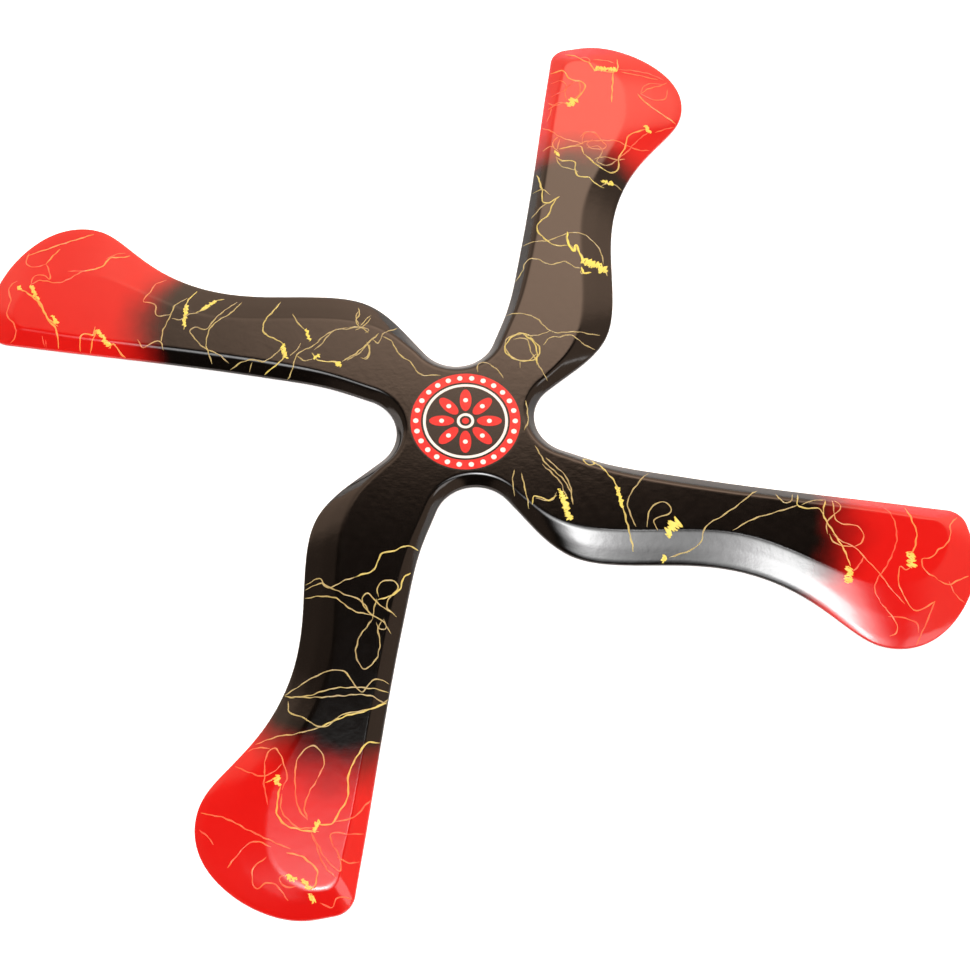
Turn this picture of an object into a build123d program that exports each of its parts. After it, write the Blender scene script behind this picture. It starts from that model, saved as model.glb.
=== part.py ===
from build123d import *
import os

# A four-bladed boomerang, right-handed: it spins anticlockwise seen from above.
# One moulded plastic wing carries a sprayed lacquer coat on its top, in black and red,
# and a printed emblem on the hub. Millimetres, +Z up. The origin is under the hub's
# centre on the flat underside, and +Y runs the way the first blade points.

BLADES = 4
THICKNESS = 3.3  # from the underside to the flat land on top, lacquer included
RIM = 0.9  # upright edge all round, lacquer included
COAT = 0.25  # lacquer, colour and clear coats together, measured upward
TIP_START = 100.0  # distance along a blade at which black lacquer meets red
TIP_BOX = 80.0  # side of a square that holds the rest of the blade

# The bevel between rim and land is two flats, so that it bulges a little.
BULGE_SHARE = 0.5  # how far in from the rim the two flats meet
BULGE_RISE = 0.54  # how much of the height is gained there

FILM = 0.10  # emblem film
INK = 0.05  # each printed ink on the film
EMBLEM_R = 16.4
RED_RING = (15.9, 12.9)  # each ring's outer and inner radius
WHITE_RING = (12.3, 11.5)
HUB_RING = (2.5, 1.7)
HUB_DOT_R = 1.0
DOTS = 26  # round the red ring
DOT_R = 0.78
RAYS = 8  # round the emblem's middle, each with a dot on it
RAY_MIDDLE = 6.9  # from the emblem's centre to a ray's middle
RAY_LENGTH = 7.2
RAY_WIDTH = 3.4
RAY_DOT_R = 0.7

# One blade, seen from above and pointing along +Y. Its outline runs round the notch on
# its left, up the leading edge, round the tip's small corner, and down the trailing edge
# to the notch on its right. Each pair below is a value at the rim and the matching value
# at the edge of the flat land.
NOTCH_CENTRE = (-3.0, 31.8)
NOTCH_R = (11.8, 14.3)
NOTCH_FROM = -139.6  # degrees round from +X
NOTCH_TO = -20.0
CORNER_CENTRE = ((33.2, 136.0), (35.6, 131.2))
CORNER_R = (6.0, 4.5)
CORNER_FROM = 172.6
CORNER_TO = 100.0
LEADING_EDGE = [
    ((12.4, 40.0), (15.1, 39.3)),
    ((15.5, 55.0), (18.9, 54.4)),
    ((18.0, 70.0), (21.6, 69.5)),
    ((22.3, 100.0), (25.9, 99.5)),
    ((25.6, 125.0), (29.8, 124.5)),
]
TRAILING_EDGE = [
    ((39.5, 143.1), (38.4, 135.7)),
    ((50.9, 141.0), (43.6, 133.5)),
    ((61.0, 134.9), (47.6, 129.8)),
    ((67.2, 127.4), (50.0, 124.8)),
    ((69.3, 120.3), (50.8, 118.5)),
    ((68.1, 112.4), (50.0, 110.3)),
    ((63.0, 105.0), (47.7, 104.4)),
    ((54.8, 95.0), (42.8, 94.4)),
    ((49.2, 85.0), (38.5, 84.8)),
    ((46.0, 75.0), (35.9, 75.5)),
    ((44.5, 62.0), (35.0, 62.0)),
    ((44.3, 42.0), (35.0, 41.0)),
    ((41.8, 30.0), (33.2, 29.6)),
    ((35.8, 22.0), (29.9, 22.6)),
    ((28.9, 16.0), (25.6, 17.2)),
]


def between(pair, share):
    """The value a share of the way from the rim's to the land's: a number, or a point."""
    rim, land = pair
    if isinstance(rim, tuple):
        return Vector(*rim) * (1 - share) + Vector(*land) * share
    return rim * (1 - share) + land * share


def wing_face(height, share):
    """The wing's outline at a height, a share of the way from the rim to the land."""
    with BuildLine() as blade:
        notch = CenterArc(NOTCH_CENTRE, between(NOTCH_R, share), NOTCH_FROM, NOTCH_TO - NOTCH_FROM)
        corner = CenterArc(
            between(CORNER_CENTRE, share), between(CORNER_R, share), CORNER_FROM, CORNER_TO - CORNER_FROM
        )
        route = [between(pair, share) for pair in LEADING_EDGE]
        Spline([notch @ 1, *route, corner @ 0], tangents=[notch % 1, corner % 0])
        next_start = (notch @ 0).rotate(Axis.Z, -360 / BLADES)
        next_run = (notch % 0).rotate(Axis.Z, -360 / BLADES)
        route = [between(pair, share) for pair in TRAILING_EDGE]
        Spline([corner @ 1, *route, next_start], tangents=[corner % 1, next_run])
    with BuildSketch(Plane.XY.offset(height)) as face:
        with BuildLine():
            for turn in range(BLADES):
                add(blade.line, rotation=-360 / BLADES * turn)
        make_face()
    return face.sketch


def bevelled_top(lift):
    """Sections of the wing's top, from the rim to the land, moved up by lift."""
    rise = THICKNESS - RIM
    return [
        wing_face(RIM + lift, 0),
        wing_face(RIM + lift + rise * BULGE_RISE, BULGE_SHARE),
        wing_face(THICKNESS + lift, 1),
    ]


# The moulded plastic wing, up to the underside of its lacquer
with BuildPart() as wing:
    extrude(wing_face(0, 0), amount=RIM - COAT)
    loft(bevelled_top(-COAT), ruled=True)

# The lacquer over the top, which the two colours share out below. Its outside and its
# inside are the same shape, the inside lower by the coat's thickness, and they meet at
# the rim, so it is closed from their faces.
with BuildPart() as lacquer_outside:
    extrude(wing_face(RIM - COAT, 0), amount=COAT)
    loft(bevelled_top(0), ruled=True)
with BuildPart() as lacquer_inside:
    loft(bevelled_top(-COAT), ruled=True)
sides = [lacquer_outside.faces(), lacquer_inside.faces()]
lacquer = Solid(Shell([face for faces in sides for face in faces.sort_by(Axis.Z)[1:]]))

# The outer end of each blade, where the lacquer is red
with BuildPart() as tips:
    for blade in range(BLADES):
        with BuildSketch(Plane.XY.rotated((0, 0, -360 / BLADES * blade))):
            with Locations((0, TIP_START)):
                Rectangle(TIP_BOX, TIP_BOX, align=(Align.MIN, Align.MIN))
        extrude(amount=THICKNESS)

with BuildPart() as black_lacquer:
    add(lacquer)
    add(tips.part, mode=Mode.SUBTRACT)

with BuildPart() as red_tip_lacquer:
    add(lacquer)
    add(tips.part, mode=Mode.INTERSECT)

# The emblem: a black film with two inks on it, in rings round the hub's centre. The inks
# lie side by side, so each leaves out the other's dots and rings.
with BuildPart() as emblem_film:
    with BuildSketch(Plane.XY.offset(THICKNESS)):
        Circle(EMBLEM_R)
    extrude(amount=FILM)

with BuildPart() as emblem_red_ink:
    with BuildSketch(Plane.XY.offset(THICKNESS + FILM)):
        Circle(RED_RING[0])
        Circle(RED_RING[1], mode=Mode.SUBTRACT)
        with PolarLocations(sum(RED_RING) / 2, DOTS):
            Circle(DOT_R, mode=Mode.SUBTRACT)
        with PolarLocations(RAY_MIDDLE, RAYS):
            Ellipse(RAY_LENGTH / 2, RAY_WIDTH / 2)
            Circle(RAY_DOT_R, mode=Mode.SUBTRACT)
        Circle(HUB_DOT_R)
    extrude(amount=INK)

with BuildPart() as emblem_white_ink:
    with BuildSketch(Plane.XY.offset(THICKNESS + FILM)):
        Circle(WHITE_RING[0])
        Circle(WHITE_RING[1], mode=Mode.SUBTRACT)
        with PolarLocations(sum(RED_RING) / 2, DOTS):
            Circle(DOT_R)
        with PolarLocations(RAY_MIDDLE, RAYS):
            Circle(RAY_DOT_R)
        Circle(HUB_RING[0])
        Circle(HUB_RING[1], mode=Mode.SUBTRACT)
    extrude(amount=INK)

os.makedirs("parts", exist_ok=True)
for name, piece in {
    "wing": wing,
    "black_lacquer": black_lacquer,
    "red_tip_lacquer": red_tip_lacquer,
    "emblem_film": emblem_film,
    "emblem_red_ink": emblem_red_ink,
    "emblem_white_ink": emblem_white_ink,
}.items():
    piece.part.label = name
    export_step(piece.part, f"parts/{name}.step")
    print(name, len(piece.part.solids()), "solids", round(piece.part.volume, 1), "mm3")
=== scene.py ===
import math
import random

import bmesh
import bpy
import numpy as np
from mathutils import Matrix, Vector
from mathutils.bvhtree import BVHTree


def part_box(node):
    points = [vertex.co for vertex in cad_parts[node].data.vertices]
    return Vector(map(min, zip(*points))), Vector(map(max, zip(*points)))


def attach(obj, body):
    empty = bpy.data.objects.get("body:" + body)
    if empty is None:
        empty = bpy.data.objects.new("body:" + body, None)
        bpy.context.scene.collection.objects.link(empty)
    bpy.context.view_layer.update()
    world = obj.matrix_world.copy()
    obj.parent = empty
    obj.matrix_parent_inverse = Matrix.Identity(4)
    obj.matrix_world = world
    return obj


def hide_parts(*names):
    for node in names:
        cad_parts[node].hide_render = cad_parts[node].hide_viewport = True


# A four-bladed boomerang lying on a white floor: a black and red lacquered wing, thrown
# yellow paint strands and a printed emblem. Lengths below are in millimetres, as in the
# CAD model, apart from the floor's and the softbox's, and are turned into metres in use.
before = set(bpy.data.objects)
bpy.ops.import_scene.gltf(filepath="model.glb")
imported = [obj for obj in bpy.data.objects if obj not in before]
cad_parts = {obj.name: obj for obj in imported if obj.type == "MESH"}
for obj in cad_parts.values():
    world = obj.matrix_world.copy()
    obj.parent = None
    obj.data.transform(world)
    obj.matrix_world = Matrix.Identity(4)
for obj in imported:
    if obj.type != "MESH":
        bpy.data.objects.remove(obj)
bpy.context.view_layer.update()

MM = 0.001
BLADES = 4

# ---------------------------------------------------------------- sizes from the frame
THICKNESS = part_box("black_lacquer")[1].z / MM  # top of the flat land
LACQUER_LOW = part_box("black_lacquer")[0].z / MM  # where the lacquer starts on the rim
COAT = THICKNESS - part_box("wing")[1].z / MM
RIM = LACQUER_LOW + COAT
TIP_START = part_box("black_lacquer")[1].y / MM  # where the red lacquer takes over

# ---------------------------------------------------------------- the wing's outline
# The same blade as in the CAD model. Its radii, corner centres and edge points come in
# pairs: the value at the rim, and the matching value at the edge of the flat land.
NOTCH_CENTRE = (-3.0, 31.8)  # one centre for both
NOTCH_R = (11.8, 14.3)
NOTCH_FROM = -139.6
NOTCH_TO = -20.0
CORNER_CENTRE = ((33.2, 136.0), (35.6, 131.2))
CORNER_R = (6.0, 4.5)
CORNER_FROM = 172.6
CORNER_TO = 100.0
LEADING_EDGE = [
    ((12.4, 40.0), (15.1, 39.3)),
    ((15.5, 55.0), (18.9, 54.4)),
    ((18.0, 70.0), (21.6, 69.5)),
    ((22.3, 100.0), (25.9, 99.5)),
    ((25.6, 125.0), (29.8, 124.5)),
]
TRAILING_EDGE = [
    ((39.5, 143.1), (38.4, 135.7)),
    ((50.9, 141.0), (43.6, 133.5)),
    ((61.0, 134.9), (47.6, 129.8)),
    ((67.2, 127.4), (50.0, 124.8)),
    ((69.3, 120.3), (50.8, 118.5)),
    ((68.1, 112.4), (50.0, 110.3)),
    ((63.0, 105.0), (47.7, 104.4)),
    ((54.8, 95.0), (42.8, 94.4)),
    ((49.2, 85.0), (38.5, 84.8)),
    ((46.0, 75.0), (35.9, 75.5)),
    ((44.5, 62.0), (35.0, 62.0)),
    ((44.3, 42.0), (35.0, 41.0)),
    ((41.8, 30.0), (33.2, 29.6)),
    ((35.8, 22.0), (29.9, 22.6)),
    ((28.9, 16.0), (25.6, 17.2)),
]
BULGE_SHARE = 0.5  # the bevel is two flats that meet here, as in the CAD model
BULGE_RISE = 0.54  # and have got this share of the way up

STEP = 0.9  # spacing of the mesh round the outline
CREASE_HALF = 0.9  # half the width over which the crease at the land is rounded
BULGE_HALF = 1.0  # and the same where the two flats meet
RIM_ROUND = 0.3  # radius of the rim's upper edge
FOOT_ROUND = 0.25  # radius of the underside's edge
FOOT_INSET = 1.0  # a flat margin of underside inside that edge
LAND_INSET = 1.0  # a flat margin of land inside the rounded crease
CREASE_SHARE = 0.9  # the crease takes at most this share of the inner flat
LEAST_FLAT = 0.02  # least width of flat left between two rounded stretches
UNDER_GAP = 0.004  # keeps the lacquer's underside off the plastic
NOTCH_COUNT = 30  # points on a notch's arc, and on a blade corner's
CORNER_COUNT = 12


def turned(xy, blade):
    """Points of the first blade turned onto another blade, clockwise."""
    angle = -2 * math.pi / BLADES * blade
    c, s = math.cos(angle), math.sin(angle)
    return np.asarray(xy, float) @ np.array([[c, s], [-s, c]])


def arc(centre, radius, start, end, count):
    """Points on an arc, and its unit direction of travel at both ends."""
    angles = np.radians(np.linspace(start, end, count))
    points = np.array(centre) + radius * np.c_[np.cos(angles), np.sin(angles)]
    way = math.copysign(1, end - start)
    runs = way * np.c_[-np.sin(angles), np.cos(angles)]
    return points, runs[0], runs[-1]


def spline(points, start_run, end_run, counts):
    """A smooth curve through points, sampled counts[i] times between each two of them."""
    points = np.asarray(points, float)
    length = np.linalg.norm(np.diff(points, axis=0), axis=1)
    size = len(points)
    system = np.zeros((size, size))
    right = np.zeros((size, 2))
    system[0, 0] = system[-1, -1] = 1
    right[0], right[-1] = start_run, end_run
    for i in range(1, size - 1):
        before, after = length[i - 1], length[i]
        system[i, i - 1 : i + 2] = 1 / before, 2 / before + 2 / after, 1 / after
        rise = (points[i] - points[i - 1]) / before**2 + (points[i + 1] - points[i]) / after**2
        right[i] = 3 * rise
    speed = np.linalg.solve(system, right)
    out = []
    for i in range(size - 1):
        t = (np.arange(counts[i]) / counts[i])[:, None]
        a, b, reach = points[i], points[i + 1], length[i]
        out.append(
            a * (1 + 2 * t) * (1 - t) ** 2
            + b * t * t * (3 - 2 * t)
            + speed[i] * reach * t * (1 - t) ** 2
            - speed[i + 1] * reach * t * t * (1 - t)
        )
    return np.vstack([*out, points[-1:]])


def blade_outline(side, lead_counts, trail_counts):
    """One blade's outline at the rim (side 0) or at the land (side 1), notch to notch."""
    notch, notch_in, notch_out = arc(
        NOTCH_CENTRE, NOTCH_R[side], NOTCH_FROM, NOTCH_TO, NOTCH_COUNT
    )
    corner, corner_in, corner_out = arc(
        CORNER_CENTRE[side], CORNER_R[side], CORNER_FROM, CORNER_TO, CORNER_COUNT
    )
    leading = [notch[-1], *[pair[side] for pair in LEADING_EDGE], corner[0]]
    next_notch = turned(notch[:1], 1)[0]
    trailing = [corner[-1], *[pair[side] for pair in TRAILING_EDGE], next_notch]
    return np.vstack(
        [
            notch[:-1],
            spline(leading, notch_out, corner_in, lead_counts)[:-1],
            corner[:-1],
            spline(trailing, corner_out, turned(notch_in, 1), trail_counts)[:-1],
        ]
    )


def outlines():
    """The whole wing's rim and land outlines, with matching points in the same places."""
    notch = arc(NOTCH_CENTRE, NOTCH_R[0], NOTCH_FROM, NOTCH_TO, 2)[0]
    corner = arc(CORNER_CENTRE[0], CORNER_R[0], CORNER_FROM, CORNER_TO, 2)[0]
    next_notch = turned(notch[:1], 1)[0]

    def counts(ends, pairs):
        route = np.array([ends[0], *[pair[0] for pair in pairs], ends[1]])
        return np.ceil(np.linalg.norm(np.diff(route, axis=0), axis=1) / STEP).astype(int)

    lead_counts = counts((notch[1], corner[0]), LEADING_EDGE)
    trail_counts = counts((corner[1], next_notch), TRAILING_EDGE)
    sides = []
    for side in (0, 1):
        blade = blade_outline(side, lead_counts, trail_counts)
        sides.append(np.vstack([turned(blade, k) for k in range(BLADES)]))
    return sides


rim_line, land_line = outlines()
bevel_vector = land_line - rim_line
bevel_width = np.linalg.norm(bevel_vector, axis=1)
bevel_way = bevel_vector / bevel_width[:, None]
bulge = BULGE_SHARE * bevel_width
bulge_half = np.minimum(BULGE_HALF, bulge)
crease_half = np.minimum(CREASE_HALF, (bevel_width - bulge) * CREASE_SHARE)


def rounded_corner(x, corner_x, half, slope_before, slope_after):
    """Height to add near a corner between two slopes, so that it is rounded over 2 * half."""
    inside = np.abs(x - corner_x) < half
    bend = (slope_after - slope_before) * (half - np.abs(x - corner_x)) ** 2 / (4 * half)
    return np.where(inside, bend, 0.0)


def bevel_height(distance):
    """Height of the painted top at a distance in from the rim, for each outline point."""
    rise = THICKNESS - RIM
    outer_slope = rise * BULGE_RISE / bulge
    inner_slope = rise * (1 - BULGE_RISE) / (bevel_width - bulge)
    outer = RIM + outer_slope * distance
    inner = RIM + rise * BULGE_RISE + inner_slope * (distance - bulge)
    height = np.where(distance < bulge, outer, np.where(distance < bevel_width, inner, THICKNESS))
    height += rounded_corner(distance, bulge, bulge_half, outer_slope, inner_slope)
    height += rounded_corner(distance, bevel_width, crease_half, inner_slope, 0.0)
    return height


def ring_levels():
    """Rings of the painted top from the rim inwards: plan points and heights."""
    rings = []
    for turn in np.radians([0, 22, 45, 68]):
        inward = RIM_ROUND * (1 - math.cos(turn))
        drop = RIM_ROUND * (1 - math.sin(turn))
        flat = bevel_height(np.full(len(rim_line), inward))
        rings.append((rim_line + bevel_way * inward, flat - drop))
    start = np.full(len(rim_line), RIM_ROUND)
    bulge_start = np.maximum(bulge - bulge_half, start + LEAST_FLAT)
    stretches = [
        (start, bulge_start, 3),
        (bulge_start, bulge + bulge_half, 5),
        (bulge + bulge_half, bevel_width - crease_half, 5),
        (bevel_width - crease_half, bevel_width + crease_half, 8),
        (bevel_width + crease_half, bevel_width + crease_half + LAND_INSET, 2),
    ]
    for begin, end, count in stretches:
        for share in np.arange(count) / count:
            distance = begin + (end - begin) * share
            rings.append((rim_line + bevel_way * distance[:, None], bevel_height(distance)))
    last = stretches[-1][1]
    rings.append((rim_line + bevel_way * last[:, None], bevel_height(last)))
    return rings


top_rings = ring_levels()


# ---------------------------------------------------------------- mesh building
def mesh_object(name, vertices, faces, material, smooth_angle=35.0):
    """A mesh object from vertices in millimetres, smooth apart from its sharp edges."""
    mesh = bpy.data.meshes.new(name)
    places = [tuple(vertex) for vertex in np.asarray(vertices) * MM]
    mesh.from_pydata(places, [], faces)
    mesh.update()
    obj = bpy.data.objects.new(name, mesh)
    bpy.context.scene.collection.objects.link(obj)
    mesh.materials.append(material)
    finish_mesh(mesh, smooth_angle)
    return obj


def finish_mesh(mesh, smooth_angle):
    """Outward faces, smooth shading, and sharp edges where the surface turns sharply."""
    bm = bmesh.new()
    bm.from_mesh(mesh)
    bmesh.ops.recalc_face_normals(bm, faces=bm.faces)
    limit = math.radians(smooth_angle)
    for face in bm.faces:
        face.smooth = True
    for edge in bm.edges:
        edge.smooth = len(edge.link_faces) == 2 and edge.calc_face_angle(0.0) < limit
    bm.to_mesh(mesh)
    bm.free()


def stacked(rings):
    """Vertices and faces of rings joined one to the next, closed by a face at each end."""
    size = len(rings[0][0])
    vertices = np.vstack([np.c_[xy, np.broadcast_to(z, size)] for xy, z in rings])
    faces = []
    for level in range(len(rings) - 1):
        low, high = level * size, (level + 1) * size
        for i in range(size):
            j = (i + 1) % size
            faces.append((low + i, low + j, high + j, high + i))
    faces.append(tuple(range(size))[::-1])
    last = (len(rings) - 1) * size
    faces.append(tuple(range(last, last + size)))
    return vertices, faces


def wing_mesh(material):
    """The plastic wing: flat below with a rounded foot, and the top's shape a coat lower."""
    rings = [(rim_line + bevel_way * (FOOT_ROUND + FOOT_INSET), 0.0)]
    for turn in np.radians([90, 60, 30, 0]):
        inward = FOOT_ROUND * (1 - math.cos(turn))
        rings.append((rim_line + bevel_way * inward, FOOT_ROUND * (1 - math.sin(turn))))
    rings += [(xy, z - COAT) for xy, z in top_rings]
    vertices, faces = stacked(rings)
    return mesh_object("wing_blank", vertices, faces, material)


def lacquer_shell():
    """Vertices and faces of all the lacquer: the top skin and its underside."""
    inside = [(xy, z - COAT + UNDER_GAP) for xy, z in top_rings]
    foot = (top_rings[0][0], LACQUER_LOW)
    return stacked([*inside[::-1], foot, *top_rings])


def note_normals(mesh):
    """Stores each face corner's normal, so that a cut can carry it along."""
    note = mesh.attributes.new("note", "FLOAT_VECTOR", "CORNER")
    note.data.foreach_set("vector", np.array([n.vector[:] for n in mesh.corner_normals]).ravel())


def restore_normals(mesh):
    """Gives the face corners their stored normals back, apart from those of a cut's face."""
    stored = [Vector(item.vector) for item in mesh.attributes["note"].data]
    normals = []
    for face in mesh.polygons:
        for corner in face.loop_indices:
            normal = stored[corner]
            keep = normal.length > 0.5 and normal.normalized().dot(face.normal) > 0.5
            normals.append((normal if keep else face.normal).normalized())
    mesh.attributes.remove(mesh.attributes["note"])
    mesh.normals_split_custom_set(normals)


def cut(obj, point, normal):
    """Cuts away what lies beyond a plane and closes the cut."""
    bm = bmesh.new()
    bm.from_mesh(obj.data)
    geometry = bm.verts[:] + bm.edges[:] + bm.faces[:]
    result = bmesh.ops.bisect_plane(
        bm,
        geom=geometry,
        dist=1e-7,
        plane_co=Vector(point) * MM,
        plane_no=Vector(normal),
        clear_outer=True,
    )
    edges = [e for e in result["geom_cut"] if isinstance(e, bmesh.types.BMEdge)]
    bmesh.ops.holes_fill(bm, edges=edges, sides=0)
    bm.to_mesh(obj.data)
    bm.free()


def lacquer_pieces(black, red):
    """The black lacquer, and one red piece for each blade end."""
    vertices, faces = lacquer_shell()
    middle = mesh_object("black_lacquer_skin", vertices, faces, black)
    note_normals(middle.data)
    for blade in range(BLADES):
        way = turned((0, 1), blade)
        cut(middle, (*way * TIP_START, 0), (*way, 0))
    restore_normals(middle.data)
    tips = []
    for blade in range(BLADES):
        tip = mesh_object(f"red_tip_skin_{blade + 1}", vertices, faces, red)
        note_normals(tip.data)
        way = turned((0, 1), blade)
        cut(tip, (*way * TIP_START, 0), (*-way, 0))
        restore_normals(tip.data)
        tips.append(tip)
    return middle, tips


# ---------------------------------------------------------------- thrown paint strands
FINE = 0.36  # widths of the strands
FULL = 0.45
HEAVY = 0.72
COVER = {FINE: 0.14, FULL: 0.42, HEAVY: 0.85}  # how far each one hides the lacquer
STRAND_RISE = 0.22  # height of a strand as a share of its width
STRAND_STEP = 0.6  # spacing of a strand's points
# a strand's half-round section: across and up, as shares of its width and rise
STRAND_SECTION = ((-0.5, -0.15), (-0.32, 0.7), (0.0, 1.0), (0.32, 0.7), (0.5, -0.15))
WANDER = 0.1  # how far a strand strays sideways from its route
DRIP_WANDER = 0.55  # and the fine drip thrown along with each heavy strand
SCRIBBLE_PITCH = 0.5  # how far a scribble gets between two of its turns
SCRIBBLE_PASSES = 3  # zigzags laid over each other in one scribble
SCRIBBLE_WANDER = 0.05
SCRIBBLE_COVER = 0.9
EMBLEM_EDGE = 16.6  # the emblem was put on over the paint, so no strand shows inside this

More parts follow.
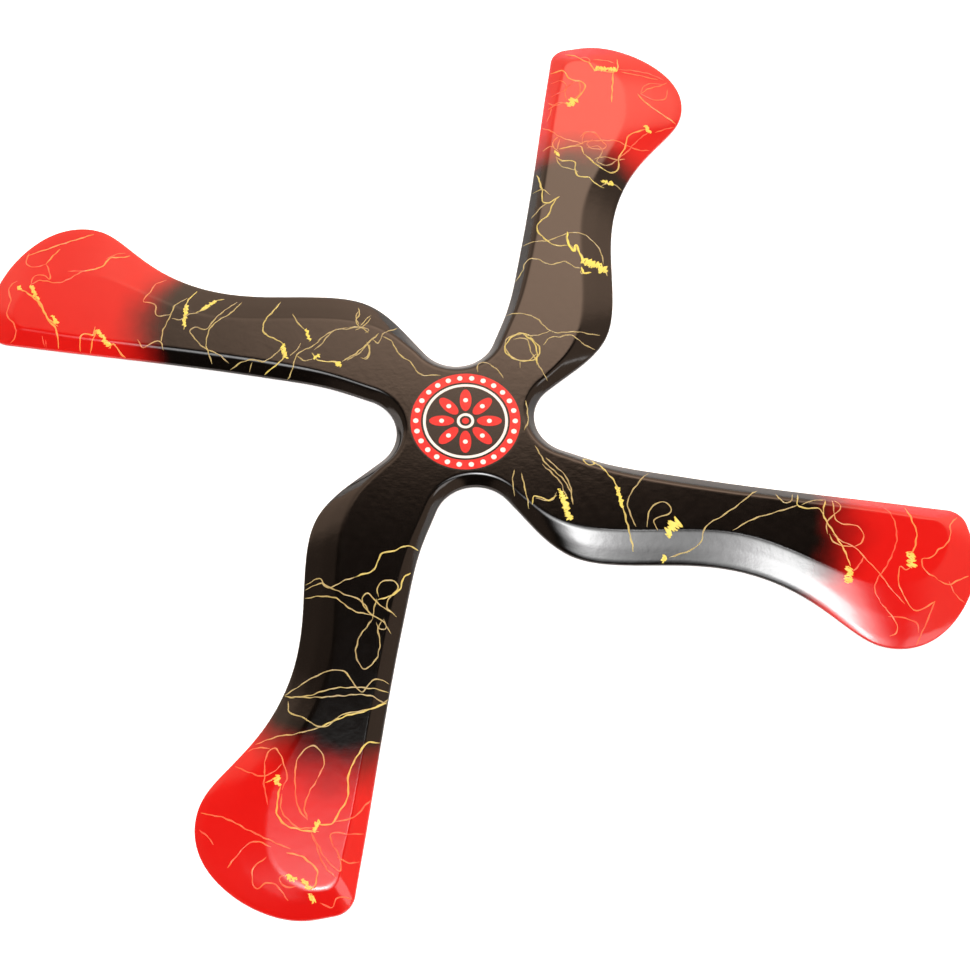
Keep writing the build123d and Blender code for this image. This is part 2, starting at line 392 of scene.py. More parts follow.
# Each strand is a width and a route, in millimetres. The routes in STRANDS
# are in the first blade's frame, one list for each blade, and HUB_STRANDS is in the model's.
STRANDS = [
    [
        (FULL, [(32, 139), (35, 138), (37, 136), (40, 134), (41, 132), (44, 131), (48, 131),
                (49, 133), (49, 137)]),
        (FINE, [(37, 137), (39, 137), (40, 135), (38, 135)]),
        (FINE, [(41, 136), (45, 136), (48, 135)]),
        (FINE, [(49, 132), (55, 132), (60, 131), (64, 129)]),
        (FINE, [(50, 131), (56, 130), (62, 129)]),
        (FULL, [(47.5, 131), (47, 126), (46.5, 118)]),
        (FULL, [(27, 131.5), (31, 131), (33, 128), (35, 127), (37, 126.5), (38, 124.5), (36.5, 121),
                (34, 118)]),
        (FINE, [(36, 127), (36.5, 124), (36, 121), (34, 119)]),
        (FINE, [(32, 119), (31.5, 121), (33, 125), (36, 127)]),
        (FINE, [(27, 127), (31, 126.5), (32, 124), (30, 122), (27, 121)]),
        (FINE, [(26, 116), (29, 117), (32, 118)]),
        (FINE, [(26, 119), (28, 117), (30, 118), (32, 117)]),
        (FINE, [(27, 116), (26.5, 113), (25.5, 111)]),
        (FINE, [(56, 122), (58, 124), (62, 126), (65, 128)]),
        (FINE, [(56, 122), (57, 125), (60, 127), (64, 127)]),
        (FINE, [(56, 122), (58, 121), (62, 120), (64, 121), (65, 125)]),
        (FULL, [(55, 122), (58, 118), (62, 115), (67, 111)]),
        (FINE, [(60, 107), (64, 109), (67, 110)]),
        (FULL, [(57, 108), (53, 106), (51, 104), (50, 100), (48, 96), (47.5, 92), (46, 90.5),
                (42, 92), (37, 97)]),
        (FULL, [(37, 97), (36, 100), (33, 100), (29, 99)]),
        (FINE, [(58, 107), (54, 103), (50, 98), (47, 95), (44, 93), (41, 94), (42.5, 97), (42, 100),
                (38, 99.5)]),
        (FINE, [(34, 100.5), (38, 102), (43, 102.5), (47, 102.5), (51, 101), (57, 100), (61, 101)]),
        (FINE, [(36.5, 101), (37, 104.5), (40, 106), (42.5, 103), (44, 100), (41, 99), (38, 101),
                (40, 103)]),
        (FINE, [(36, 104), (38, 106), (41, 105), (43, 102)]),
        (FINE, [(24, 109), (27, 106), (29.5, 104), (33, 102.5), (37, 101)]),
        (FINE, [(29, 104), (27, 101), (28, 99), (29.5, 103)]),
        (FINE, [(24, 99), (27, 100), (29, 98)]),
        (FINE, [(40, 95), (43, 96), (47, 95.5), (50, 96)]),
        (FULL, [(28, 96), (30, 94.5), (34, 94), (34, 91), (36, 88), (38, 88), (40, 86), (43, 84.5)]),
        (FINE, [(28, 96), (30, 92), (32, 91.5), (35, 90)]),
        (FINE, [(42, 85), (44, 86.5), (47, 86), (49, 84)]),
        (FULL, [(22, 90), (23, 86), (23.5, 81), (24, 78), (27, 79), (29, 80.5)]),
        (FINE, [(20, 83), (24, 83), (26, 81)]),
        (FINE, [(20, 73), (24, 77), (27, 79)]),
        (FULL, [(28.5, 80.5), (26.5, 77), (25, 73), (22, 70), (22, 67), (24, 64.5), (27, 62), (31, 62)]),
        (FINE, [(17, 63), (22, 63.5), (26, 64), (31, 66.5), (35, 66.5), (38, 65), (41, 61), (42, 56)]),
        (HEAVY, [(31, 67), (31.5, 62), (33, 60), (33.5, 62), (35, 58), (36, 55)]),
        (HEAVY, [(35, 54), (35.5, 52), (38, 52.5)]),
        (FULL, [(42, 55), (43, 52)]),
        (FINE, [(15, 50), (17, 53), (18, 56), (21, 57), (24, 55.5), (27, 55), (30, 56), (33, 54),
                (35, 53.5)]),
        (FINE, [(12, 37.5), (16, 37), (21, 35.5), (23, 33), (25, 31), (30, 30.5), (40, 30.5)]),
        (FINE, [(17, 29.5), (22, 29.5), (25, 31)]),
        (FINE, [(23, 26), (25, 28.5), (28, 29), (31, 29.5), (34, 27.5), (39, 25.5)]),
    ],
    [
        (FINE, [(30, 139), (32, 137), (36, 136), (39, 134.5), (41, 132), (43, 130), (44, 127),
                (46, 127), (50, 131)]),
        (FINE, [(50, 131), (51, 134), (49.5, 137), (48, 140)]),
        (FINE, [(50, 134), (53, 135), (56, 138)]),
        (FULL, [(27, 124.5), (31, 125.5), (36, 126.5), (40, 125.5), (42, 124.5)]),
        (FINE, [(46, 124), (47, 122), (46, 121), (48, 120), (52, 120), (56, 121.5), (58.5, 123),
                (57, 128), (56, 129.5)]),
        (FINE, [(56, 129.5), (62, 126.5), (66, 124.5), (71, 121.5)]),
        (FINE, [(27, 118), (30, 120), (35, 121), (40, 120), (45, 117.5), (50, 114), (53, 113),
                (57, 114.5)]),
        (FINE, [(57, 114.5), (61, 117.5), (65, 118), (66, 116)]),
        (FINE, [(60.5, 116), (61, 121), (63, 124), (65, 124)]),
        (FINE, [(57, 121), (54, 118.5), (51, 116.5), (47, 114), (43, 111), (40, 108.5), (38, 105),
                (36, 103)]),
        (FINE, [(43, 111), (46, 109), (48, 107)]),
        (FINE, [(25, 104), (29, 104), (32, 104.5), (33, 107), (33.5, 110), (36, 111.5), (39, 110.5),
                (40, 108.5)]),
        (FINE, [(40, 108.5), (39.5, 105), (38.5, 103), (36, 102)]),
        (FINE, [(25, 104.5), (27, 106), (30, 104), (33, 101.5), (36, 101.5)]),
        (FULL, [(25, 102), (30, 101), (34, 102.5), (38, 104.5), (42, 106), (46, 107)]),
        (FULL, [(30, 101), (28, 99.5), (28, 97), (27, 94), (23, 94.5)]),
        (FINE, [(25, 102), (25.5, 98), (27, 95)]),
        (FINE, [(27, 94), (28.5, 90), (30, 85), (32.5, 79), (35, 75)]),
        (FINE, [(23, 93), (26, 92), (26, 90), (23, 88)]),
        (FINE, [(22, 83), (27, 77), (31, 71.5), (34, 67.5), (38, 66), (41, 62), (42.5, 57)]),
        (FINE, [(35, 54), (32, 53), (30.5, 56), (29, 58), (26.5, 57), (26.5, 54), (29, 52), (34, 51)]),
        (FINE, [(16, 52.5), (21, 48.5), (26, 46), (30, 46.5), (34, 48)]),
        (FULL, [(12, 36), (15, 39), (20, 42.5), (28, 44.5), (35, 46), (41, 47)]),
        (FULL, [(12, 36), (13.5, 37), (14, 35), (12, 34), (11.5, 36)]),
        (FINE, [(12, 23), (16, 27), (20, 29.5), (27, 30.5)]),
        (FINE, [(14, 22), (20, 27), (25, 29)]),
        (FINE, [(23, 26), (25.5, 24.5), (25, 20)]),
    ],
    [
        (FULL, [(21.5, 96.5), (25, 97), (27, 99.5), (29, 103), (30, 107), (30, 112), (32, 116),
                (34, 119), (38, 119)]),
        (FULL, [(37, 121), (42, 120.5), (46, 119), (48, 116), (48, 112), (47.5, 109)]),
        (FINE, [(38, 120), (42, 120), (45, 118), (47, 115), (47, 111)]),
        (FINE, [(40, 118), (42.5, 115), (43.5, 110), (43, 101), (39.5, 98), (36.5, 103), (38, 107)]),
        (FINE, [(38, 107), (40, 111), (41, 115), (40, 118)]),
        (FINE, [(50.5, 114), (51.5, 110), (52, 104), (51.5, 100), (50, 98.5), (47, 103), (46, 107),
                (47, 110)]),
        (FULL, [(49, 107), (51.5, 108)]),
        (FINE, [(47.5, 103), (50, 105.5), (53, 106), (56, 105), (60, 103)]),
        (FINE, [(51, 98.5), (54, 98), (57, 99)]),
        (FULL, [(45, 126.5), (42, 127), (39, 129), (37, 131), (37, 133.5), (38, 135.5), (41, 134)]),
        (FINE, [(44, 125.5), (50, 123), (56, 120), (62, 117), (68, 115.5)]),
        (FINE, [(27, 138), (30, 137.5), (32, 138), (33, 140), (36, 139)]),
        (FINE, [(42, 135), (45, 135), (46.5, 133), (45, 132)]),
        (FINE, [(44, 138.5), (46, 136), (50, 134), (52, 135.5), (53.5, 133), (53, 130), (50, 127.5)]),
        (FINE, [(49, 125), (53, 123.5), (57, 126), (60, 130)]),
        (FINE, [(64, 124), (66, 121.5), (68, 120)]),
        (FINE, [(25, 121), (30, 121.5), (34, 122), (33.5, 124), (31.5, 127.5), (31, 131), (34, 129),
                (39, 121)]),
        (FINE, [(32, 133), (35, 130), (37, 126), (39, 121)]),
        (FINE, [(26, 128), (29, 129), (32, 127.5)]),
        (FINE, [(24, 112), (26, 114.5), (28, 117), (33, 118.5)]),
        (FULL, [(20, 85), (25, 88), (30, 89.5), (34, 91), (38, 93)]),
        (FINE, [(38, 93), (43, 94.5), (48, 95), (55, 97)]),
        (FINE, [(20, 84), (23, 87), (28, 88.5), (33, 90), (36, 92.5), (39, 92.5), (43, 90),
                (46.5, 88), (47, 85)]),
        (FINE, [(19, 82.5), (26, 82), (34, 82), (38, 83), (46, 84), (48.5, 83.5)]),
        (FINE, [(20, 86), (26, 84), (36, 84.5), (46.5, 84)]),
        (FINE, [(19, 80.5), (24, 79.5), (27, 83), (32, 77.5), (36, 77), (41, 79), (46, 82), (49, 84)]),
        (FINE, [(24, 63), (23, 67), (23, 71), (24.5, 75), (26.5, 76.5), (28.5, 74.5), (29, 69),
                (27, 65), (25, 62)]),
        (FINE, [(25, 62), (24.5, 58), (24, 56)]),
        (FINE, [(20, 66), (23, 62), (25, 61), (27, 59), (28, 56), (27, 54.5), (24, 57), (20, 60),
                (18.5, 61)]),
        (FINE, [(22, 62), (21.5, 65), (23, 65), (22.5, 62.5)]),
        (FINE, [(25, 61), (29, 60), (32, 58.5), (35, 56), (38, 55), (44, 55)]),
        (FINE, [(26, 60), (28, 57), (32, 55), (37, 52.5), (40, 51), (44, 52.5)]),
        (FINE, [(18.5, 61), (21, 59), (21, 56.5), (19, 54), (18.5, 52), (20, 50.5), (24, 52.5),
                (23.5, 55.5)]),
        (FULL, [(15, 47.5), (16.5, 49), (17.5, 52), (20, 55), (24, 56.5)]),
        (FULL, [(13, 40.5), (16, 40), (20, 41.5), (23, 42.5), (25, 47), (30, 49.5)]),
        (FINE, [(30, 49.5), (34, 51), (38, 52.5), (40, 49.5), (44, 51)]),
    ],
    [
        (FINE, [(27, 136), (29.5, 134), (33, 135), (37, 137.5), (41, 137), (45, 138), (48, 137.5),
                (49, 136)]),
        (FULL, [(25, 121), (31, 122), (34, 124.5), (38, 126.5), (42, 129), (46, 131)]),
        (FULL, [(32, 121.5), (35, 125), (40, 128), (43, 131), (46, 135)]),
        (FINE, [(47, 131.5), (48.5, 129), (48, 126), (48, 122), (50, 119), (52, 116), (53, 112.5)]),
        (FULL, [(52, 116), (53, 112.5), (54.5, 110.5), (57.5, 108.5), (58, 105.5), (59, 103)]),
        (FINE, [(52, 121), (52, 117), (53, 113)]),
        (FINE, [(57, 110), (59, 107.5), (60, 104.5)]),
        (FINE, [(47, 131.5), (50, 131), (50.5, 128), (49, 126), (52, 126.5), (55, 128)]),
        (FULL, [(55, 128), (58, 126.5), (61, 124.5)]),
        (FINE, [(55, 128), (54, 131), (54.5, 133), (57, 134.5), (60, 134)]),
        (FULL, [(59, 134), (61, 129), (64, 122), (67, 115)]),
        (FINE, [(25, 125), (29, 126)]),
        (FINE, [(25, 124.5), (28, 125)]),
        (FULL, [(24, 114.5), (28, 114.5), (29.5, 113), (29, 111), (32, 110.5)]),
        (FULL, [(24, 111.5), (28, 110.5), (31, 110)]),
        (FULL, [(25, 106), (26, 104.5), (24, 102.5), (22.5, 101), (21.5, 99.5)]),
        (FINE, [(27.5, 97.5), (25, 95.5), (26, 93.5), (27, 91), (24, 89.5)]),
        (FINE, [(26.5, 90.5), (31, 90), (36, 88.5), (40, 87), (43, 84)]),
        (FINE, [(50, 91), (48, 94), (44, 95.5), (41, 97), (40, 93.5), (36, 92.5), (36, 90), (36.5, 88)]),
        (FULL, [(31, 84), (36, 84), (41, 84), (46, 81.5)]),
        (FINE, [(35, 88), (34.5, 85.5), (36.5, 83), (37, 80)]),
        (FULL, [(37, 81), (39, 78), (42, 76), (43, 73)]),
        (FINE, [(20, 75), (24, 76.5), (28, 77), (32, 76), (35, 73), (38, 70), (42, 67.5)]),
        (FINE, [(20, 70), (23, 74), (25, 78), (28, 80.5), (31, 82), (32, 80.5), (31, 78), (34, 75.5),
                (42, 69)]),
        (FINE, [(17, 73), (18, 70), (20, 66.5), (20.5, 62), (20, 60), (22, 57), (25, 54)]),
        (FINE, [(17, 64), (20, 63)]),
        (FULL, [(15.5, 60), (17, 59), (18.5, 56.5), (21, 54), (24, 54), (26, 54)]),
        (FULL, [(26, 54), (28, 57), (30, 60), (33, 60.5), (37, 58.5), (42, 56)]),
        (FINE, [(14.5, 55), (15, 53), (18, 51), (22, 50), (24, 48), (25, 46), (28, 43), (31, 39),
                (32, 35)]),
        (FINE, [(32, 35), (32, 31.5), (30, 29)]),
        (FINE, [(22, 52), (24, 50), (26.5, 49)]),
        (FINE, [(31, 48), (34, 50.5), (37, 52)]),
        (FULL, [(23, 45.5), (20.5, 43.5), (20, 40), (20, 37)]),
        (FINE, [(21, 45), (20.5, 48), (22, 50)]),
        (FINE, [(20, 36.5), (23, 32.5), (26, 29.5), (27.5, 28), (30, 26)]),
        (FINE, [(21.5, 31), (21, 29.5), (24, 28.5), (27, 29.5)]),
        (FINE, [(32, 31.5), (34, 33), (37, 32), (40, 32.5)]),
        (FINE, [(32.5, 31.5), (35, 30), (37, 28.5)]),
    ],
]
HUB_STRANDS = [
    (FULL, [(20, 29), (16, 30), (13, 28), (11.5, 25), (13, 22), (16, 20.5), (20, 21), (22, 24), (19, 29)]),
    (FINE, [(17, 30), (12.5, 28.5), (12, 24), (15, 21), (19, 21), (21, 23)]),
    (FULL, [(17, 30), (20, 27), (21, 23), (21, 19)]),
    (FINE, [(14, 28), (18, 28), (19, 25), (20, 22), (22, 18), (24, 14)]),
    (FINE, [(16, 20.5), (16, 18)]),
    (FINE, [(3.5, 16.5), (3.5, 19), (5, 20), (8, 18.5), (10, 16.5), (11, 14.5)]),
    (FINE, [(-25, 29), (-22, 27), (-20, 23), (-16, 19.5), (-13, 15.5), (-10, 15.5), (-5, 15)]),
    (FINE, [(17.5, 7), (18, 4), (18, 0), (17, -3)]),
    (FINE, [(20, -8), (22, -12), (25, -16), (28, -19), (29.5, -22), (30.5, -27)]),
    (FINE, [(14, -16), (13.5, -20), (14, -24)]),
    (FINE, [(16, -17), (17, -22), (18, -28)]),
    (FULL, [(19, -27), (19.5, -24.5), (22, -25), (24, -25.5), (26, -24)]),
    (FINE, [(-45, 24), (-43, 26), (-41, 29), (-39, 31), (-35, 31.5), (-31, 32), (-29, 31), (-30, 30)]),
    (FINE, [(-33, 31), (-30, 33), (-28.5, 36)]),
    (FINE, [(-32, 33), (-33, 36), (-32, 39)]),
    (FINE, [(-28, 28), (-26, 26.5), (-25, 29), (-24, 30.5), (-22, 31.5), (-20.5, 33)]),
    (FINE, [(-35, 20.5), (-31, 23.5), (-29.5, 26), (-28, 28)]),
    (FINE, [(-30.5, 21), (-29, 22), (-28.5, 26)]),
]
# Where a strand fell back and forth on itself: from, to, and how far it strayed sideways
SCRIBBLES = [
    [
        ((41, 132), (49, 132), 1.0),
        ((32, 116.5), (35, 119.5), 1.7),
        ((57, 109.5), (58.5, 106.5), 0.9),
        ((28, 98.5), (29, 96), 0.8),
        ((42, 87), (46, 86.5), 0.8),
        ((35.5, 57), (43, 53.5), 1.9),
    ],
    [
        ((41.5, 124.5), (46.5, 124), 1.5),
        ((46, 106.5), (51, 106), 1.3),
        ((32, 60), (36, 56), 2.0),
        ((42, 56), (44, 55), 0.7),
        ((21, 43), (28, 44.5), 0.7),
        ((22, 27), (32, 29.5), 1.2),
    ],
    [
        ((37, 118), (38.5, 121), 0.8),
        ((48, 109), (49, 106), 1.0),
        ((37, 139), (39, 137), 0.8),
        ((38, 136), (41, 133.5), 0.8),
        ((42, 133.5), (45, 132.5), 0.7),
    ],
    [
        ((33, 122), (36, 123.5), 0.8),
        ((41, 128.5), (47, 131.5), 0.7),
        ((45, 134), (47, 135.5), 0.7),
        ((31, 110), (25, 105.5), 0.8),
        ((32, 84), (40, 84), 0.7),
        ((38, 79.5), (42.5, 75.5), 0.7),
        ((21, 53), (26, 54.5), 0.8),
        ((27, 46.5), (31.5, 47.5), 0.7),
        ((21, 45), (22.5, 43), 0.8),
        ((18, 37), (20, 38), 0.9),
    ],
]


def smooth_route(points, wander, dice):
    """Closely spaced points on a curve through a route, with a little lateral wander."""
    points = np.asarray(points, float)
    first, last = points[1] - points[0], points[-1] - points[-2]
    runs = [v / np.linalg.norm(v) for v in (first, last)]
    counts = np.ceil(np.linalg.norm(np.diff(points, axis=0), axis=1) / STRAND_STEP).astype(int)
    line = spline(points, *runs, counts)
    way = np.gradient(line, axis=0)
    way /= np.linalg.norm(way, axis=1)[:, None] + 1e-9
    travel = np.arange(len(line)) * STRAND_STEP
    shift = np.zeros(len(line))
    for wavelength in (3.1, 5.3, 9.7):
        size = dice.uniform(0.3, 1.0) * wander
        shift += size * np.sin(2 * math.pi * travel / wavelength + dice.uniform(0, 2 * math.pi))
    fade = np.minimum(1, np.minimum(travel, travel[::-1]) / 2.0)
    return line + np.c_[-way[:, 1], way[:, 0]] * (shift * fade)[:, None]


def scribble_route(start, end, spread, dice):
    """A zigzag from one place to another, as of a strand that fell back on itself."""
    start, run = np.array(start, float), np.subtract(end, start)
    length = np.linalg.norm(run)
    way = run / length
    side = np.array((-way[1], way[0]))
    turns = max(5, round(length / SCRIBBLE_PITCH))
    route = [start]
    for turn in range(1, turns):
        swing = spread * dice.uniform(0.1, 1.0) * (-1) ** turn
        route.append(start + run * turn / turns + way * dice.uniform(-0.6, 0.6) + side * swing)
    return [*route, start + run]


class Paint:
    """Strand meshes laid on the lacquer, gathered for one object."""

    def __init__(self, surface):
        self.surface = surface
        self.vertices = []
        self.faces = []
        self.cover = []

    def height(self, x, y):
        """Height of the lacquer at a place, or None off the wing."""
        hit = self.surface.ray_cast(Vector((x, y, 10.0)), Vector((0, 0, -1)))[0]
        return None if hit is None else hit.z

    def stretches(self, line):
        """The parts of a line that lie on the wing and outside the emblem."""
        part = []
        for point in line:
            z = self.height(*point)
            if z is None or z < RIM or math.hypot(*point) < EMBLEM_EDGE:
                if len(part) > 2:
                    yield part
                part = []
                continue
            part.append(point)
        if len(part) > 2:
            yield part

    def lay(self, line, width, dice, cover=None):
        """Adds a half-round ribbon along a line."""
        if cover is None:
            cover = COVER[width] + dice.uniform(-0.08, 0.08)
        rise = width * STRAND_RISE * dice.uniform(0.85, 1.15)
        beat = dice.uniform(0, 6)
        for part in self.stretches(line):
            part = np.array(part)
            way = np.gradient(part, axis=0)
            way /= np.linalg.norm(way, axis=1)[:, None] + 1e-9
            across = np.c_[-way[:, 1], way[:, 0]]
            start = len(self.vertices)
            for index, (point, side) in enumerate(zip(part, across)):
                end = min(index, len(part) - 1 - index)
                swell = 1 + 0.22 * math.sin(index * 0.9 + beat)
                swell += 0.15 * math.sin(index * 0.37 + 2 * beat)
                size = swell * min(1.0, 0.25 + 0.3 * end)
                middle = self.height(*point)
                for offset, lift in STRAND_SECTION:
                    x, y = point + side * offset * width * size
                    z = self.height(x, y)
                    self.vertices.append((x, y, (middle if z is None else z) + lift * rise * size))
                    self.cover.append(cover)
            rows = len(part)
            count = len(STRAND_SECTION)
            for row in range(rows - 1):
                for k in range(count):
                    a = start + row * count + k
                    b = start + row * count + (k + 1) % count
                    self.faces.append((a, b, b + count, a + count))
            self.faces.append(tuple(start + k for k in range(count)))
            tail = start + (rows - 1) * count
            self.faces.append(tuple(tail + k for k in range(count)))

    def object(self, name, material):
        """The strands as one object, with how far each hides the lacquer."""
        obj = mesh_object(name, self.vertices, self.faces, material, 60.0)
        cover = obj.data.attributes.new("cover", "FLOAT", "POINT")
        cover.data.foreach_set("value", self.cover)
        return obj


def paint_strands(material):
    """One object of strands for each blade and one for the hub."""
    vertices, faces = lacquer_shell()
    surface = BVHTree.FromPolygons([tuple(v) for v in vertices], faces)
    groups = [(f"yellow_strands_{k + 1}", k, STRANDS[k], SCRIBBLES[k]) for k in range(BLADES)]
    groups.append(("yellow_strands_hub", 0, HUB_STRANDS, []))
    objects = []
    for name, blade, strands, scribbles in groups:
        dice = random.Random(name)
        paint = Paint(surface)
        for width, points in strands:
            paint.lay(turned(smooth_route(points, WANDER, dice), blade), width, dice)
            if width == HEAVY:
                line = turned(smooth_route(points, DRIP_WANDER, dice), blade)
                paint.lay(line, FINE, dice)
        for start, end, spread in scribbles:
            for _ in range(SCRIBBLE_PASSES):
                route = scribble_route(start, end, spread, dice)
                line = turned(smooth_route(route, SCRIBBLE_WANDER, dice), blade)
                paint.lay(line, FULL, dice, SCRIBBLE_COVER)
        objects.append(paint.object(name, material))
    return objects


# ---------------------------------------------------------------- materials
def srgb(red, green, blue):
    """A colour given as 0 to 255 display values, for a shader."""
    linear = []
    for value in (red, green, blue):
        share = value / 255
        linear.append(share / 12.92 if share <= 0.04045 else ((share + 0.055) / 1.055) ** 2.4)
    return (*linear, 1.0)


def add_node(tree, kind, **settings):
    """A new node with some of its settings."""
    node = tree.nodes.new(kind)
    for key, value in settings.items():
        setattr(node, key, value)
    return node


def maths(tree, operation, first, second=None, third=None):
    """A Math node whose inputs are sockets or numbers."""
    node = add_node(tree, "ShaderNodeMath", operation=operation)
    for index, value in enumerate((first, second, third)):
        if value is None:
            continue
        if isinstance(value, (int, float)):
            node.inputs[index].default_value = value
        else:
            tree.links.new(value, node.inputs[index])
    return node.outputs[0]


def ramp(tree, value, start, end, low, high):
    """low up to start, high from end on, and a soft change between."""
    node = add_node(tree, "ShaderNodeMapRange", interpolation_type="SMOOTHSTEP")
    tree.links.new(value, node.inputs["Value"])
    for name, number in zip(("From Min", "From Max", "To Min", "To Max"), (start, end, low, high)):
        node.inputs[name].default_value = number
    return node.outputs["Result"]


def noise(tree, vector, scale, detail):
    """A noise from 0 to 1, of so many cells to a metre."""
    node = add_node(tree, "ShaderNodeTexNoise")
    node.inputs["Scale"].default_value = scale
    node.inputs["Detail"].default_value = detail
    tree.links.new(vector, node.inputs["Vector"])
    return node.outputs["Fac"]


def new_material(name):
    """A material, its node tree, its shader and the place on the object in metres."""
    material = bpy.data.materials.new(name)
    material.use_nodes = True
    tree = material.node_tree
    shader = tree.nodes["Principled BSDF"]
    place = add_node(tree, "ShaderNodeTexCoord").outputs["Object"]
    return material, tree, shader, place


def mixed(tree, share, first, second):
    """A colour between two colours or colour sockets."""
    node = add_node(tree, "ShaderNodeMix", data_type="RGBA")
    tree.links.new(share, node.inputs[0])
    for socket, value in ((node.inputs[6], first), (node.inputs[7], second)):
        if isinstance(value, tuple):
            socket.default_value = value
        else:
            tree.links.new(value, socket)
    return node.outputs[2]


BLACK = srgb(9, 7, 6)
RED = srgb(208, 27, 23)
DEEP_RED = srgb(198, 19, 17)
FADE_AT = 103.0  # distance along a blade at which black has half turned to red
FADE_WIDTH = 19.0  # length of blade over which the change takes place
FADE_CENTRE = 33.0  # the black reaches furthest out here across the blade
FADE_SIDE = 14.0  # and this far to either side of there
FADE_BOW = 4.6  # it has fallen back by this much
FADE_LEAN = 0.035  # how much the fade shifts from blade to blade, as a share of its place
FADE_MIST = 9.0  # how far the spray's cloudiness moves the fade


def red_share(tree, place):
    """0 where the airbrushed wing is black, 1 where it is red, soft between."""
    split = add_node(tree, "ShaderNodeSeparateXYZ")
    tree.links.new(place, split.inputs[0])
    x, y = (maths(tree, "ABSOLUTE", split.outputs[i]) for i in (0, 1))
    along = maths(tree, "MAXIMUM", x, y)
    across = maths(tree, "MINIMUM", x, y)
    off_centre = maths(tree, "SUBTRACT", across, FADE_CENTRE * MM)
    off_centre = maths(tree, "DIVIDE", off_centre, FADE_SIDE * MM)
    bow = maths(tree, "MULTIPLY", maths(tree, "POWER", off_centre, 2.0), FADE_BOW * MM)
    # the sprayer's hand was not quite the same on every blade
    lean = maths(tree, "SUBTRACT", split.outputs[0], split.outputs[1])
    lean = maths(tree, "MULTIPLY", lean, FADE_LEAN)
    cloud = maths(tree, "SUBTRACT", noise(tree, place, 90.0, 3.0), 0.5)
    mist = maths(tree, "MULTIPLY", cloud, FADE_MIST * MM)
    reach = maths(tree, "ADD", maths(tree, "SUBTRACT", along, lean), maths(tree, "ADD", bow, mist))
    start = (FADE_AT - FADE_WIDTH / 2) * MM
    return ramp(tree, reach, start, start + FADE_WIDTH * MM, 0.0, 1.0)


def add_bump(tree, shader, layers, strength, distance):
    """Bump from several noises, each (socket, weight)."""
    total = None
    for socket, weight in layers:
        part = maths(tree, "MULTIPLY", socket, weight)
        total = part if total is None else maths(tree, "ADD", total, part)
    bump = add_node(tree, "ShaderNodeBump")
    bump.inputs["Strength"].default_value = strength
    bump.inputs["Distance"].default_value = distance
    tree.links.new(total, bump.inputs["Height"])
    tree.links.new(bump.outputs["Normal"], shader.inputs["Normal"])


def lacquer_material(name):
    """Gloss lacquer, black fading to red along each blade, with sprayed orange peel."""
    material, tree, shader, place = new_material(name)
    red = mixed(tree, noise(tree, place, 60.0, 3.0), DEEP_RED, RED)
    tree.links.new(mixed(tree, red_share(tree, place), BLACK, red), shader.inputs["Base Color"])
    rough = maths(tree, "MULTIPLY_ADD", noise(tree, place, 400.0, 2.0), 0.05, 0.08)
    tree.links.new(rough, shader.inputs["Roughness"])
    shader.inputs["IOR"].default_value = 1.5
    peel = noise(tree, place, 420.0, 2.0)
    grain = noise(tree, place, 1500.0, 2.0)
    waves = noise(tree, place, 45.0, 1.0)
    add_bump(tree, shader, ((peel, 0.12), (grain, 0.04), (waves, 0.1)), 1.0, 0.00012)
    return material


def strand_material():
    """Thrown yellow paint: thin strands let the lacquer's colour through."""
    material, tree, shader, place = new_material("yellow_paint")
    cover = add_node(tree, "ShaderNodeAttribute", attribute_name="cover").outputs["Fac"]
    patchy = maths(tree, "MULTIPLY_ADD", noise(tree, place, 300.0, 2.0), 0.4, -0.2)
    share = maths(tree, "ADD", cover, patchy)
    share.node.use_clamp = True
    on_black = mixed(tree, share, srgb(160, 144, 105), srgb(238, 222, 98))
    on_red = mixed(tree, share, srgb(242, 66, 56), srgb(255, 208, 88))
    tree.links.new(mixed(tree, red_share(tree, place), on_black, on_red), shader.inputs["Base Color"])
    rough = maths(tree, "MULTIPLY_ADD", noise(tree, place, 500.0, 2.0), 0.12, 0.18)
    tree.links.new(rough, shader.inputs["Roughness"])
    return material


WALL_FROM = 0.02  # height above the underside at which the red starts on the wall
WALL_TO = 0.3  # and at which it is full


def plastic_material():
    """The bare plastic: satin black, with the red carried down the walls of the blade ends."""
    material, tree, shader, place = new_material("satin_plastic")
    split = add_node(tree, "ShaderNodeSeparateXYZ")
    tree.links.new(place, split.inputs[0])
    on_wall = add_node(tree, "ShaderNodeMapRange")
    tree.links.new(split.outputs[2], on_wall.inputs["Value"])
    on_wall.inputs["From Min"].default_value = WALL_FROM * MM
    on_wall.inputs["From Max"].default_value = WALL_TO * MM
    share = maths(tree, "MULTIPLY", red_share(tree, place), on_wall.outputs["Result"])
    worn = mixed(tree, noise(tree, place, 35.0, 4.0), srgb(24, 23, 22), srgb(34, 32, 31))
    tree.links.new(mixed(tree, share, worn, RED), shader.inputs["Base Color"])
    rough = maths(tree, "MULTIPLY_ADD", noise(tree, place, 150.0, 3.0), 0.16, 0.26)
    tree.links.new(rough, shader.inputs["Roughness"])
    grain = noise(tree, place, 1400.0, 3.0)
    waves = noise(tree, place, 90.0, 1.0)
    add_bump(tree, shader, ((grain, 0.4), (waves, 1.0)), 0.7, 0.00012)
    return material


def ink_material(name, low, high, roughness):
    """A printed ink or film, with slightly uneven cover."""
    material, tree, shader, place = new_material(name)
    tree.links.new(mixed(tree, noise(tree, place, 900.0, 3.0), low, high), shader.inputs["Base Color"])
    rough = maths(tree, "MULTIPLY_ADD", noise(tree, place, 700.0, 2.0), 0.08, roughness)
    tree.links.new(rough, shader.inputs["Roughness"])
    add_bump(tree, shader, ((noise(tree, place, 1800.0, 2.0), 0.3),), 0.5, 0.00008)
    return material


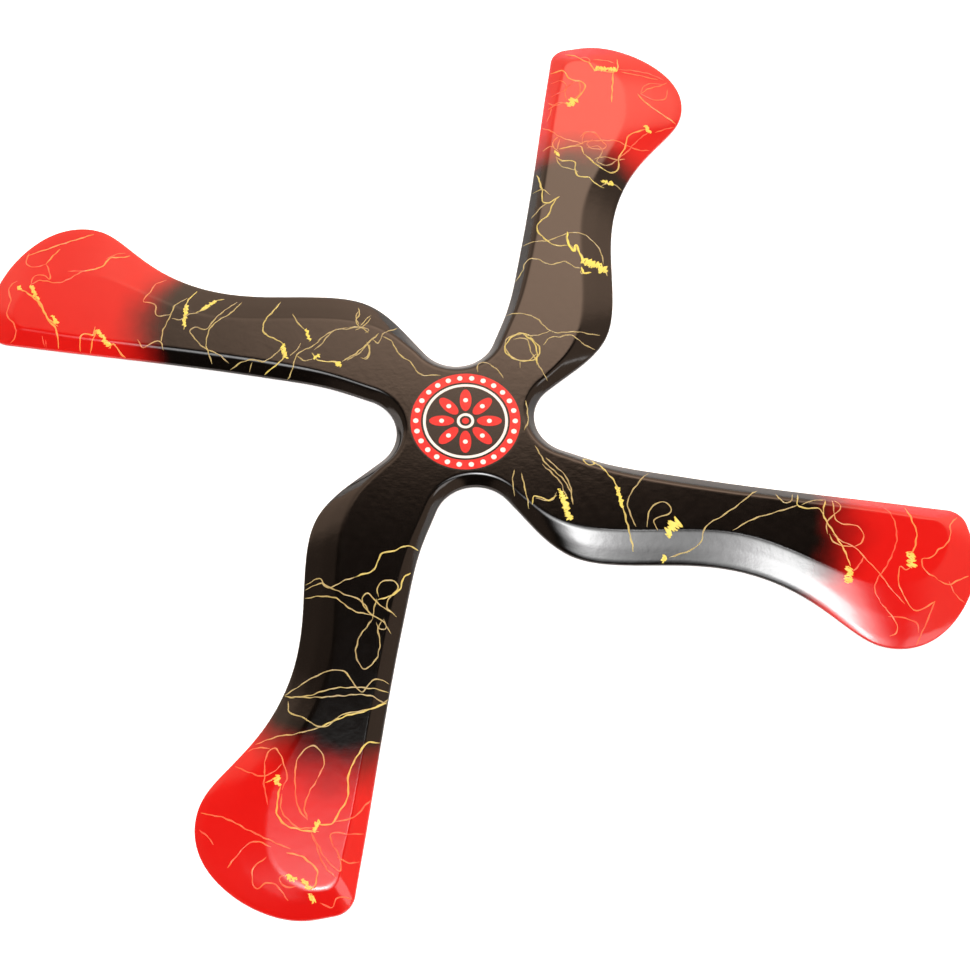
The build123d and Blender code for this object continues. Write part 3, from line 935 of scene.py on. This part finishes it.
black_lacquer = lacquer_material("black_lacquer")
red_lacquer = lacquer_material("red_lacquer")
plastic = plastic_material()
yellow_paint = strand_material()

# ---------------------------------------------------------------- the pieces
wing = wing_mesh(plastic)
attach(wing, "root")
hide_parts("wing")

black_skin, tip_skins = lacquer_pieces(black_lacquer, red_lacquer)
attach(black_skin, "root")
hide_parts("black_lacquer")
for skin in tip_skins:
    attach(skin, "root")
    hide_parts("red_tip_lacquer")

for strands in paint_strands(yellow_paint):
    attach(strands, "root")

for node, ink in (
    ("emblem_film", ink_material("emblem_black_film", srgb(22, 20, 19), srgb(34, 31, 29), 0.14)),
    ("emblem_red_ink", ink_material("emblem_red_ink", srgb(206, 24, 26), srgb(228, 40, 40), 0.16)),
    ("emblem_white_ink", ink_material("emblem_white_ink", srgb(226, 222, 218), srgb(246, 243, 240), 0.18)),
):
    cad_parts[node].material_slots[0].material = ink

# ---------------------------------------------------------------- floor, light, camera
FLOOR_FLAT = 2.4  # radius of the floor's flat part, in metres
SWEEP = 1.2  # radius of the curve by which it rises into the background
SWEEP_STEPS = 12
SWEEP_TURN = 7  # degrees to a step
FLOOR_DROP = 0.0002  # keeps the floor clear of the underside


def floor():
    """A plain white floor that sweeps up all round, with a little light of its own."""
    material, _, shader, _ = new_material("white_floor")
    shader.inputs["Base Color"].default_value = (0.9, 0.9, 0.9, 1)
    shader.inputs["Roughness"].default_value = 0.9
    shader.inputs["Emission Color"].default_value = (1, 1, 1, 1)
    shader.inputs["Emission Strength"].default_value = 0.55
    bm = bmesh.new()
    bmesh.ops.create_circle(bm, cap_ends=True, segments=96, radius=FLOOR_FLAT)
    for step in range(1, SWEEP_STEPS + 1):
        turn = math.radians(SWEEP_TURN * step)
        outer = [edge for edge in bm.edges if edge.is_boundary]
        risen = bmesh.ops.extrude_edge_only(bm, edges=outer)["geom"]
        for vert in (v for v in risen if isinstance(v, bmesh.types.BMVert)):
            way = Vector((vert.co.x, vert.co.y, 0)).normalized()
            vert.co = way * (FLOOR_FLAT + SWEEP * math.sin(turn))
            vert.co.z = SWEEP * (1 - math.cos(turn))
    for face in bm.faces:
        face.smooth = True
    mesh = bpy.data.meshes.new("floor")
    bm.to_mesh(mesh)
    bm.free()
    mesh.materials.append(material)
    obj = bpy.data.objects.new("floor", mesh)
    obj.location.z = -FLOOR_DROP
    bpy.context.scene.collection.objects.link(obj)


def softbox(name, direction, distance, size, radiance):
    """A rectangular white light in a direction from the hub, facing it, of a given brightness."""
    light = bpy.data.lights.new(name, "AREA")
    light.shape = "RECTANGLE"
    light.size, light.size_y = size
    light.energy = radiance * math.pi * size[0] * size[1]
    obj = bpy.data.objects.new(name, light)
    way = Vector(direction).normalized()
    obj.location = way * distance
    obj.rotation_euler = way.to_track_quat("Z", "Y").to_euler()
    bpy.context.scene.collection.objects.link(obj)


def toward(x, y):
    """The upward direction whose horizontal part is x, y."""
    return (x, y, math.sqrt(1 - x * x - y * y))


def spot(tree, x, y, z, middle, near, far, radiance):
    """A round light in the sky with a soft edge: full up to near, none from far on."""
    dx = maths(tree, "SUBTRACT", x, middle[0])
    dy = maths(tree, "SUBTRACT", y, middle[1])
    squares = maths(tree, "ADD", maths(tree, "MULTIPLY", dx, dx), maths(tree, "MULTIPLY", dy, dy))
    away = maths(tree, "SQRT", squares)
    above = maths(tree, "GREATER_THAN", z, 0.0)
    return maths(tree, "MULTIPLY", above, ramp(tree, away, near, far, radiance, 0.0))


WARM = (1.0, 0.68, 0.49, 1)  # colour of the light behind the wing and of the room
BACK_MIDDLE = 0.09  # where along x the light behind is brightest
BACK_LEVEL = 1.1  # its radiance away from there


def glow():
    """The studio: a dark room, a big warm light behind the wing and a white one overhead.

    Places are the horizontal parts of upward directions, so (0, 0) is straight up.
    """
    world = bpy.data.worlds.new("studio")
    world.use_nodes = True
    bpy.context.scene.world = world
    tree = world.node_tree
    split = add_node(tree, "ShaderNodeSeparateXYZ")
    tree.links.new(add_node(tree, "ShaderNodeTexCoord").outputs["Generated"], split.inputs[0])
    x, y, z = split.outputs

    # the big light has a straight lower edge and is brightest right of the middle
    off_middle = maths(tree, "ABSOLUTE", maths(tree, "SUBTRACT", x, BACK_MIDDLE))
    near_middle = ramp(tree, off_middle, 0.02, 0.38, 3.8, 0.0)
    peak = maths(tree, "MULTIPLY", near_middle, ramp(tree, y, 0.66, 0.8, 1.0, 0.2))
    edge = ramp(tree, y, 0.455, 0.545, 0.0, 1.0)
    back = maths(tree, "MULTIPLY", maths(tree, "ADD", peak, BACK_LEVEL), edge)
    right_side = ramp(tree, x, 0.25, 0.45, 0.0, 0.8)
    left_side = ramp(tree, x, -0.55, -0.35, 0.3, 0.0)
    sides = maths(tree, "ADD", right_side, left_side)
    room = maths(tree, "ADD", ramp(tree, y, 0.5, 1.0, 0.02, 0.4), sides)
    warm = tree.nodes["Background"]
    warm.inputs["Color"].default_value = WARM
    tree.links.new(maths(tree, "ADD", back, room), warm.inputs["Strength"])

    # overhead: a broad light with a bright core, and a small one that the tip's crease catches
    broad = spot(tree, x, y, z, (-0.06, 0.01), 0.02, 0.33, 17.0)
    core = spot(tree, x, y, z, (-0.06, -0.01), 0.05, 0.13, 18.0)
    small = spot(tree, x, y, z, (0.09, 0.26), 0.01, 0.05, 14.0)
    overhead = maths(tree, "ADD", broad, core)
    white = add_node(tree, "ShaderNodeBackground")
    tree.links.new(maths(tree, "ADD", overhead, small), white.inputs["Strength"])
    total = add_node(tree, "ShaderNodeAddShader")
    tree.links.new(warm.outputs[0], total.inputs[0])
    tree.links.new(white.outputs[0], total.inputs[1])
    tree.links.new(total.outputs[0], tree.nodes["World Output"].inputs["Surface"])


def lights():
    """The studio's glow, and one softbox to the front right."""
    glow()
    softbox("front_fill", toward(0.5, -0.14), 2.2, (0.8, 1.0), 3.0)


LENS = 62.4  # focal length
CAMERA_PLACE = (3.2, -240.6, 427.4)
CAMERA_FORWARD = (0.0051, 0.4598, -0.8880)
CAMERA_RIGHT = (1.0, -0.0004, 0.0055)


def camera():
    """The camera looks down on the hub from the front, 27 degrees off the vertical."""
    data = bpy.data.cameras.new("camera")
    data.lens = LENS
    data.sensor_width = 36.0
    data.sensor_fit = "AUTO"
    data.dof.use_dof = False
    obj = bpy.data.objects.new("camera", data)
    forward = Vector(CAMERA_FORWARD).normalized()
    right = Vector(CAMERA_RIGHT)
    right = (right - forward * right.dot(forward)).normalized()
    up = right.cross(forward)
    turn = Matrix((right, up, -forward)).transposed()
    obj.matrix_world = Matrix.Translation(Vector(CAMERA_PLACE) * MM) @ turn.to_4x4()
    bpy.context.scene.collection.objects.link(obj)
    bpy.context.scene.camera = obj


floor()
lights()
camera()
bpy.context.scene.view_settings.view_transform = "Standard"
